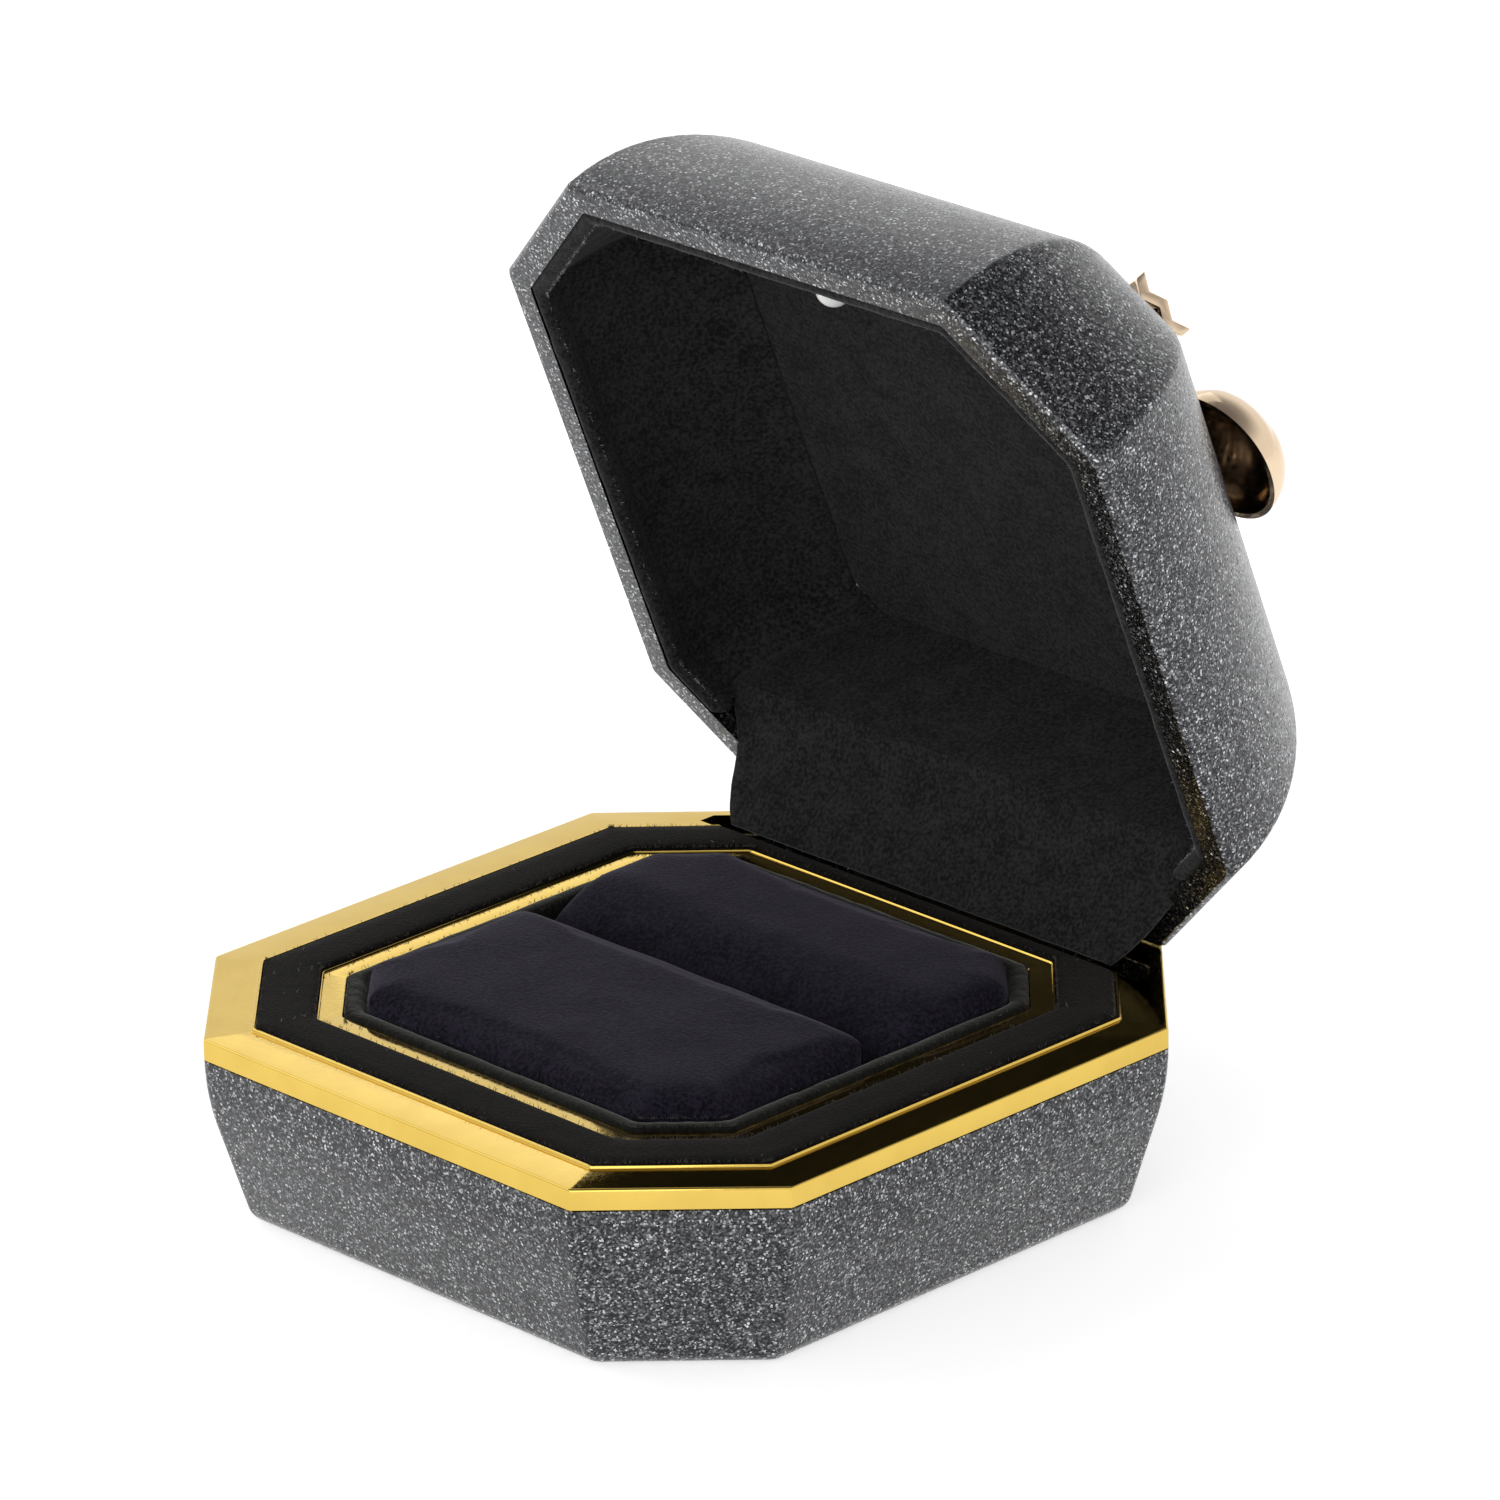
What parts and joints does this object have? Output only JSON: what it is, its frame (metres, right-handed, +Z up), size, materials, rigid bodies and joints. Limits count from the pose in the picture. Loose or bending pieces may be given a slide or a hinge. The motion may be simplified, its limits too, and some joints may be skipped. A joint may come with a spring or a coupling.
{
  "type": "ring box",
  "caption": "Hinged eight-sided ring box with a gold rim, a slotted velvet pad, a velvet-lined domed lid with a lamp inside, and a cast bow on the lid.",
  "frame": {"origin": "on the floor under the middle of the base, box standing upright", "axes": "+X along the hinge to the right seen from the front, +Y from the front towards the hinge, +Z up; the lid is drawn fully open"},
  "size_m": [0.065, 0.0792, 0.078],
  "materials": {
    "paint": "moulded plastic in graphite paint with fine silver flakes, satin clear coat",
    "gold": "polished gold plating",
    "velvet": "near-black velvet with short pile",
    "pad_velvet": "black velvet with a plum sheen",
    "board": "plain moulded board",
    "steel": "plated steel",
    "black_plastic": "satin black plastic",
    "lens": "milky white lens",
    "rose_gold": "polished champagne gold plating"
  },
  "bodies": {
    "base": {"base_shell": "paint", "gold_rim": "gold", "velvet_ring": "velvet", "inner_strip": "gold", "pad_riser": "board", "pad_tray": "board", "pad_border": "pad_velvet", "pad_front": "pad_velvet", "pad_rear": "pad_velvet", "hinge_base_leaf": "steel", "hinge_base_rivets": "steel", "hinge_pin": "steel", "hinge_spring": "steel"},
    "lid": {"lid_shell": "paint", "lid_liner": "velvet", "lid_ceiling_panel": "velvet", "lid_back_panel": "velvet", "hinge_cover": "velvet", "hinge_lid_leaf": "steel", "hinge_lid_rivets": "steel", "lamp_housing": "black_plastic", "lamp_lens": "lens", "lamp_cell": "steel", "lamp_cell_holder": "black_plastic", "bow_knot": "rose_gold", "bow_loop_right": "rose_gold", "bow_loop_left": "rose_gold", "bow_tail_right": "rose_gold", "bow_tail_left": "rose_gold", "bow_studs": "rose_gold", "bow_push_nuts": "steel"}
  },
  "joints": [
    {"name": "lid_hinge", "type": "hinge", "parent": "base", "child": "lid", "pos_m": [0, 0.03167, 0.0164], "axis": [1, 0, 0], "range_deg": [0, 68.7]}
  ]
}
